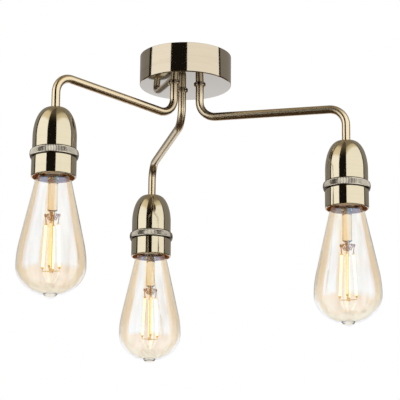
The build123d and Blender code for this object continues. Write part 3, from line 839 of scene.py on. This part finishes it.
def makeSkirt(side):
    size = skirtSizes
    outline = softened([
        (size["bore"], -size["top"]),
        (size["flangeRadius"], -size["top"], size["flangeRound"]),
        (size["flangeRadius"], -size["flangeLow"], size["flangeRound"]),
        (size["radius"], -size["flangeLow"]),
        (size["radius"], -size["bottom"], size["hem"]),
        (size["bore"], -size["bottom"]),
    ])
    bm = lathe(outline, size["around"])
    for face in bm.faces:
        centre = face.calc_center_median()
        if face.normal.xy.dot(centre.xy) < -0.5 * centre.xy.length:
            face.material_index = 1
    dress(
        bm, side + "_skirtTube", side + "_holder_skirt", "root",
        ("holderBrass", "holderInside"), place=holderTop(side),
    )


for side in sides:
    makeDome(side)
    makeRing(side)
    makeSkirt(side)
print("lampholder shells made")


# bulbs, their heights measured down from the dome's top too

bulbSizes = {
    "neckTop": 58.2, "neckRadius": 12.4, "neckLow": 64.0, "neckBend": 1.6, "shoulderRadius": 15.9,
    "shoulderLow": 65.6, "shoulderBend": 2.2, "shoulderInset": (0.75, 0.55), "widest": 32.0,
    "widestLow": 149.0, "cheek": 100.0, "cheekSteps": 40, "pole": 176.0, "poleSteps": 36,
    "tip": 178.2, "tipRadius": 5.5, "tipRound": 2.2, "tipClear": 0.4, "tipFlare": 0.3,
    "tipSink": 0.35, "tipFillet": 0.6, "tipTaper": 0.4, "wall": 1.0, "around": 144,
}


def bulbOutline(inset):
    # neck, shoulder and cheek of the pear shape, moved inwards by a wall
    size = bulbSizes
    centre = Vector((size["widest"] - size["cheek"], -size["widestLow"]))
    shoulder = Vector((size["shoulderRadius"], -size["shoulderLow"]))
    reach = shoulder - centre
    turn = math.atan2(reach.y, reach.x) - math.acos(size["cheek"] / reach.length)
    meeting = centre + Vector((math.cos(turn), math.sin(turn))) * size["cheek"]
    inward = (centre - meeting).normalized() * inset
    shareX, shareZ = size["shoulderInset"]
    points = softened([
        (size["neckRadius"] - inset, -size["neckTop"]),
        (size["neckRadius"] - inset, -size["neckLow"], size["neckBend"]),
        (shoulder.x - inset * shareX, shoulder.y - inset * shareZ, size["shoulderBend"]),
        tuple(meeting + inward),
    ])
    cheekRadius = size["cheek"] - inset
    cheek = arcPoints(
        centre, cheekRadius, cheekRadius, math.degrees(turn), 0, size["cheekSteps"],
    )
    bottom = arcPoints(
        (0, -size["widestLow"]), size["widest"] - inset, size["pole"] - size["widestLow"] - inset,
        0, -90, size["poleSteps"],
    )
    return points + cheek[1:] + bottom[1:]


def makeBulbGlass(side):
    # the outside with its sealed tip, then the inside back up to the neck
    size = bulbSizes
    outer = bulbOutline(0)
    while outer[-1][0] < size["tipRadius"] + size["tipClear"]:
        outer.pop()
    tip = softened([
        outer[-1],
        (size["tipRadius"] + size["tipFlare"], -size["pole"] + size["tipSink"], size["tipFillet"]),
        (size["tipRadius"] - size["tipTaper"], -size["tip"], size["tipRound"]),
        (0, -size["tip"]),
    ])
    inner = bulbOutline(size["wall"])
    inner.reverse()
    outline = [*outer[:-1], *tip, (0, inner[0][1]), *inner[1:]]
    dress(
        lathe(outline, size["around"]), side + "_glassBulb", side + "_bulb_glass",
        side + "_bulb", ["bulbGlass"], place=holderTop(side), smoothAngle=50,
    )


stemSizes = {
    "top": 58.2, "lipRadius": 11.35, "lip": 1.6, "flare": 13.4, "flareSteps": 20, "collar": 1.0,
    "radius": 4.5, "low": 98.2, "round": 1.2, "rod": 1.2, "rodRound": 0.5, "hub": 1.8,
    "hubHeight": 2.0, "hubFoot": 0.2, "hubRound": 0.5, "end": 154.9, "around": 64,
}


def makeStem(side):
    size = stemSizes
    flareLow = size["top"] + size["lip"] + size["flare"]
    flare = arcPoints(
        (size["lipRadius"], -flareLow), size["lipRadius"] - size["radius"], size["flare"],
        90, 180, size["flareSteps"],
    )
    hubTop = -size["end"] + size["hubHeight"]
    lower = softened([
        (size["radius"], -flareLow - size["collar"]),
        (size["radius"], -size["low"], size["round"]),
        (size["rod"], -size["low"], size["rodRound"]),
        (size["rod"], hubTop, size["hubFoot"]),
        (size["hub"], hubTop, size["hubRound"]),
        (size["hub"], -size["end"], size["hubRound"]),
        (0, -size["end"]),
    ])
    outline = [(0, -size["top"]), (size["lipRadius"], -size["top"]), *flare, *lower]
    dress(
        lathe(outline, size["around"], closed=False), side + "_glassStem", side + "_bulb_stem",
        side + "_bulb", ["stemGlass"], place=holderTop(side),
    )


# routes are (radius, depth) points beside the bulb's axis
cageSizes = {
    "count": 4, "stripRadius": 1.0, "topRadius": 5.6, "top": 109.7, "bottomRadius": 7.8,
    "bottom": 151.7, "cap": 1.6, "wire": 0.45, "spokeWire": 0.38, "sleeve": 0.12, "lap": 0.1,
    "front": 3, "stripAround": 20, "wireAround": 12,
    "crown": ((2.1, 98.25), (2.1, 100.6), (6.4, 101.8), (5.6, 109.2)),
    "spoke": ((7.8, 152.2), (7.8, 153.9), (1.85, 153.9)),
    "turns": {"left": -8.0, "rear": 7.0, "right": -11.0},
    "eyelets": ((6.3, 102.0), (4.1, 101.4), (3.9, 103.3), (3.1, 105.2)),
    "eyeletRadius": 1.1, "eyeletWire": 0.38, "eyeletSteps": 20, "eyeletLean": 45.0,
    "eyeletTwist": 60.0, "fineAround": 8,
    "coilRadius": 1.75, "coilTop": 101.2, "coilDrop": 6.2, "coilTurns": 4, "coilWire": 0.4,
    "coilSteps": 20,
}


def sweptTube(points, radius, around):
    # a round bar along a few points, with one ring of its wall at each
    bm = bmesh.new()
    rings = []
    for index, point in enumerate(points):
        before = points[max(index - 1, 0)]
        after = points[min(index + 1, len(points) - 1)]
        ring = bmesh.ops.create_circle(
            bm, cap_ends=False, segments=around, radius=radius,
        )["verts"]
        turn = Vector((0, 0, 1)).rotation_difference((after - before).normalized())
        bmesh.ops.rotate(bm, verts=ring, cent=(0, 0, 0), matrix=turn.to_matrix())
        bmesh.ops.translate(bm, verts=ring, vec=point)
        edges = edgesOf(ring)
        if rings:
            bmesh.ops.bridge_loops(bm, edges=rings[-1] + edges)
        rings.append(edges)
    for edges in (rings[0], rings[-1]):
        bmesh.ops.contextual_create(bm, geom=edges)
    bmesh.ops.recalc_face_normals(bm, faces=bm.faces[:])
    return bm


def cagePoint(radius, depth, turn):
    return Vector((radius * math.cos(turn), radius * math.sin(turn), -depth)) * mm


def makeCoil():
    # a fine wire wound round the rod, below the crown
    size = cageSizes
    steps = size["coilTurns"] * size["coilSteps"]
    points = []
    for step in range(steps + 1):
        depth = size["coilTop"] + size["coilDrop"] * step / steps
        turn = math.tau * step / size["coilSteps"]
        points.append(cagePoint(size["coilRadius"], depth, turn))
    return sweptTube(points, size["coilWire"] * mm, size["fineAround"])


def makeEyelet(place, turn, lean):
    # one of the wire loops that lie on the crown and hang from it
    size = cageSizes
    bm = bmesh.new()
    ring = bmesh.ops.create_circle(
        bm, cap_ends=False, segments=size["fineAround"], radius=size["eyeletWire"] * mm,
    )["verts"]
    bmesh.ops.translate(bm, verts=ring, vec=(size["eyeletRadius"] * mm, 0, 0))
    spinRound(bm, ring + bm.edges[:], size["eyeletSteps"], axis=(0, 1, 0))
    bmesh.ops.recalc_face_normals(bm, faces=bm.faces[:])
    bmesh.ops.rotate(
        bm, verts=bm.verts[:], cent=(0, 0, 0), matrix=Matrix.Rotation(turn + lean, 3, "Z"),
    )
    bmesh.ops.translate(bm, verts=bm.verts[:], vec=cagePoint(*place, turn))
    return bm


def makeCage(side):
    size = cageSizes
    crownWire, spokeWire = size["wire"] * mm, size["spokeWire"] * mm
    sleeveRadius = (size["stripRadius"] + size["sleeve"]) * mm
    strips, wires = [], [makeCoil()]
    for index in range(size["count"]):
        turn = math.tau * index / size["count"]
        for step, place in enumerate(size["eyelets"]):
            lean = math.radians(size["eyeletLean"] + step * size["eyeletTwist"])
            wires.append(makeEyelet(place, turn, lean))
        top = cagePoint(size["topRadius"], size["top"], turn)
        bottom = cagePoint(size["bottomRadius"], size["bottom"], turn)
        strip = sweptTube([top, bottom], size["stripRadius"] * mm, size["stripAround"])
        paint(strip, int(index == size["front"]))
        strips.append(strip)
        for route, wire, tone in ((size["crown"], crownWire, 0), (size["spoke"], spokeWire, 1)):
            points = [cagePoint(*point, turn) for point in route]
            bar = sweptTube(points, wire, size["wireAround"])
            paint(bar, tone)
            wires.append(bar)
        along = (bottom - top).normalized()
        for start, sign in ((top, 1), (bottom, -1)):
            lap = start - along * sign * size["lap"] * mm
            reach = start + along * sign * size["cap"] * mm
            bar = sweptTube([lap, reach], sleeveRadius, size["stripAround"])
            paint(bar, 1)
            wires.append(bar)
    own = math.radians(size["turns"][side])
    dress(
        joined(strips), side + "_ledStrips", side + "_bulb_filaments", side + "_bulb",
        ("ledStrip", "ledStripFront"), place=holderTop(side), turn=own,
    )
    dress(
        joined(wires), side + "_cageWires", side + "_bulb_support_wires", side + "_bulb",
        ("supportWire", "tipBrass"), place=holderTop(side), turn=own,
    )


threadSizes = {
    "pitch": 3.629, "capRadius": 13.2, "capRoot": 12.25, "capWall": 0.4, "capTop": 40.6,
    "shoulder": 42.2, "topRadius": 10.5, "rim": 63.2, "rimBand": 0.9, "threadTop": 44.0,
    "turns": 4.4, "waves": 16, "fade": 1.5, "inset": 0.02, "near": 0.01, "around": 72,
}


def makeCap(side):
    # the cap's rolled thread: its wall waves in and out and climbs one pitch a turn
    size = threadSizes
    middle = (size["capRadius"] + size["capRoot"]) / 2
    swing = (size["capRadius"] - size["capRoot"]) / 2
    count = int(size["turns"] * size["waves"])
    threadTop = size["threadTop"]
    threadLow = threadTop + size["turns"] * size["pitch"]
    depths = [size["shoulder"]]
    depths += [threadTop + (threadLow - threadTop) * step / count for step in range(count + 1)]
    depths += [size["rim"] - size["rimBand"], size["rim"]]
    outline = [(size["topRadius"], -size["capTop"])]
    outline += [(size["capRadius"] - size["inset"], -depth) for depth in depths]
    bm = bmesh.new()
    spinRound(bm, drawOutline(bm, outline, closed=False), size["around"])
    for vert in bm.verts:
        depth = -vert.co.z / mm
        if not threadTop - size["near"] < depth < threadLow + size["near"]:
            continue
        turn = math.atan2(vert.co.y, vert.co.x) / math.tau
        fade = min(1, (depth - threadTop) / size["fade"], (threadLow - depth) / size["fade"])
        wave = middle + swing * math.cos(math.tau * (depth / size["pitch"] + turn))
        radius = size["capRadius"] + (wave - size["capRadius"]) * max(fade, 0)
        vert.co.xy *= radius * mm / vert.co.xy.length
    bmesh.ops.recalc_face_normals(bm, faces=bm.faces[:])
    bmesh.ops.solidify(bm, geom=bm.faces[:], thickness=size["capWall"] * mm)
    dress(
        bm, side + "_screwCap", side + "_bulb_cap", side + "_bulb", ["capBrass"],
        place=holderTop(side),
    )


for side in sides:
    makeBulbGlass(side)
    makeStem(side)
    makeCage(side)
    makeCap(side)
print("bulbs made")


# pieces kept from the frame

keptFinishes = {
    "ceiling_bracket": "zincSteel",
    "canopy_screws": "screwBrass",
    "earth_screw": "platedSteel",
    "terminal_block": "blockPlastic",
    "clamp_screws": "platedSteel",
    "arm_washers": "platedSteel",
    "arm_nuts": "contactBrass",
    "holder_nuts": "contactBrass",
}
for side in sides:
    keptFinishes[side + "_wires"] = "liveSleeve"
    keptFinishes[side + "_holder_core"] = "coreCeramic"
    keptFinishes[side + "_holder_shell"] = "shellBrass"
    keptFinishes[side + "_holder_contact"] = "contactBrass"
    keptFinishes[side + "_bulb_insulator"] = "insulatorGlass"
    keptFinishes[side + "_bulb_base_contact"] = "solderTin"
for name, finish in keptFinishes.items():
    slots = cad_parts[name].data.materials
    if not slots:
        slots.append(None)
    for index in range(len(slots)):
        slots[index] = finishes[finish]
print("kept pieces finished")


# studio

studio = {
    "floorDepth": -2.4, "floorSize": 60.0, "floorColour": (0.93, 0.93, 0.925),
    "floorRoughness": 0.9, "cardLow": -0.9, "cardHigh": 1.8, "wedgeHeight": 1.78,
    "white": (1.56, 1.56, 1.56), "whiteRight": (1.46, 1.45, 1.43), "pale": (1.1, 1.1, 1.12),
    "grey": (0.325, 0.31, 0.29), "roof": (0.34, 0.28, 0.20), "gapRoof": (0.14, 0.11, 0.08),
    "umber": (0.20, 0.12, 0.07), "brown": (0.06, 0.04, 0.025), "dark": (0.014, 0.011, 0.009),
}


def cardMaterial(name, stops):
    # a card's own brightness, by height
    material = bpy.data.materials.new(name)
    material.use_nodes = True
    tree = material.node_tree
    tree.nodes.clear()
    out = tree.nodes.new("ShaderNodeOutputMaterial")
    glow = tree.nodes.new("ShaderNodeEmission")
    link(tree, glow.outputs[0], out.inputs["Surface"])
    place = tree.nodes.new("ShaderNodeTexCoord")
    link(tree, heightRamp(tree, place.outputs["Object"], stops), glow.inputs["Color"])
    material.cycles.emission_sampling = "NONE"  # only reflected rays look for the cards
    return material


def hangCard(bm, name, stops):
    # a card that only polished surfaces see
    card = newPiece(bm, name, [cardMaterial(name, stops)])
    card.visible_camera = False
    card.visible_diffuse = False
    card.visible_transmission = False
    card.visible_volume_scatter = False
    card.visible_shadow = False


def addCard(name, start, end, stops):
    low, high = stops[0][0], stops[-1][0]
    bm = bmesh.new()
    verts = [bm.verts.new((*corners[point], low)) for point in (start, end)]
    extrudeEdges(bm, [bm.edges.new(verts)], (0, 0, high - low))
    hangCard(bm, name, stops)


def addFlatCard(name, points, height, colour):
    bm = bmesh.new()
    bm.faces.new([bm.verts.new((x, y, height)) for x, y in points])
    hangCard(bm, name, ((height - 0.01, colour), (height + 0.01, colour)))


# the ring of cards, seen from above, in metres
corners = {
    "leftNear": (-0.572, -0.759), "leftFar": (-0.898, 0.053), "rightNear": (0.060, -0.928),
    "rightFar": (0.750, 0.003), "backLeft": (-0.95, 1.05), "backRight": (0.85, 1.05),
    "leftEdge": (-0.905, 0.20), "rightEdge": (0.758, 0.083),
    "splitLeft": (-0.92, 0.5), "splitRight": (0.80, 0.5),
    "wedgeRight": (0.02, 0.1), "wedgeLeft": (-0.06, 0.1),
}
white, whiteRight, pale, grey, roof, gapRoof, umber, brown, dark = (
    studio[name] for name in (
        "white", "whiteRight", "pale", "grey", "roof", "gapRoof", "umber", "brown", "dark",
    )
)
floorHeight, roofHeight, wedgeHeight = (
    studio[name] for name in ("cardLow", "cardHigh", "wedgeHeight")
)
leftStops = (
    (floorHeight, brown), (-0.48, brown), (-0.22, white), (0.46, white),
    (0.56, (1.15, 1.03, 0.78)), (1.10, (1.05, 0.92, 0.66)), (1.45, (0.60, 0.50, 0.34)),
    (roofHeight, roof),
)
rightStops = (
    (floorHeight, brown), (-0.48, brown), (-0.22, whiteRight), (0.46, whiteRight),
    (0.56, (1.02, 0.92, 0.69)), (0.90, (0.80, 0.70, 0.50)), (1.15, (0.40, 0.33, 0.23)),
    (roofHeight, roof),
)
gapStops = (
    (floorHeight, brown), (-0.17, brown), (-0.08, dark), (0.45, dark), (1.2, gapRoof),
    (roofHeight, gapRoof),
)
backStops = (
    (floorHeight, umber), (-0.68, umber), (-0.62, pale), (-0.16, pale), (-0.02, grey),
    (1.2, grey), (roofHeight, roof),
)
sideStops = (
    (floorHeight, brown), (-0.12, dark), (-0.02, grey), (1.2, grey), (roofHeight, roof),
)
for name, start, end, stops in (
    ("softboxLeft", "leftFar", "leftNear", leftStops),
    ("gapCard", "leftNear", "rightNear", gapStops),
    ("softboxRight", "rightNear", "rightFar", rightStops),
    ("edgeCardRight", "rightFar", "rightEdge", gapStops),
    ("sideCardRight", "rightEdge", "backRight", sideStops),
    ("backCard", "backRight", "backLeft", backStops),
    ("sideCardLeft", "backLeft", "leftEdge", sideStops),
    ("edgeCardLeft", "leftEdge", "leftFar", gapStops),
):
    addCard(name, start, end, stops)
near = ("leftFar", "leftNear", "rightNear", "rightFar", "rightEdge")
for name, path, height, colour in (
    ("roofCard", (*near, "backRight", "backLeft", "leftEdge"), roofHeight, roof),
    ("floorFrontCard", ("splitLeft", "leftEdge", *near, "splitRight"), floorHeight, brown),
    ("floorBackCard", ("splitLeft", "splitRight", "backRight", "backLeft"), floorHeight, umber),
    ("roofGapCard", ("leftNear", "rightNear", "wedgeRight", "wedgeLeft"), wedgeHeight, gapRoof),
):
    addFlatCard(name, [corners[point] for point in path], height, colour)


def makeFloor():
    bm = bmesh.new()
    bmesh.ops.create_grid(bm, x_segments=1, y_segments=1, size=studio["floorSize"] / 2)
    bmesh.ops.translate(bm, verts=bm.verts[:], vec=(0, 0, studio["floorDepth"]))
    material = bpy.data.materials.new("studioFloor")
    material.use_nodes = True
    shader = material.node_tree.nodes["Principled BSDF"]
    shader.inputs["Base Color"].default_value = (*studio["floorColour"], 1)
    shader.inputs["Roughness"].default_value = studio["floorRoughness"]
    floor = newPiece(bm, "studioFloor", [material])


makeFloor()

world = bpy.data.worlds.new("studioWorld")
world.use_nodes = True
backdrop = world.node_tree.nodes["Background"]
backdrop.inputs["Color"].default_value = (1, 1, 1, 1)
backdrop.inputs["Strength"].default_value = 1
scene.world = world

view = {
    "place": (0, -1.7585, -0.6186), "tilt": math.pi / 2 + 0.2624, "roll": -0.008,
    "turn": -0.0109, "lens": 168.7, "sensor": 36,
}
cameraData = bpy.data.cameras.new("photoCamera")
cameraData.lens = view["lens"]
cameraData.sensor_width = view["sensor"]
camera = bpy.data.objects.new("photoCamera", cameraData)
camera.location = view["place"]
camera.rotation_euler = (view["tilt"], view["roll"], view["turn"])
scene.collection.objects.link(camera)
scene.camera = camera
scene.view_settings.view_transform = "Standard"
print("studio and camera made")
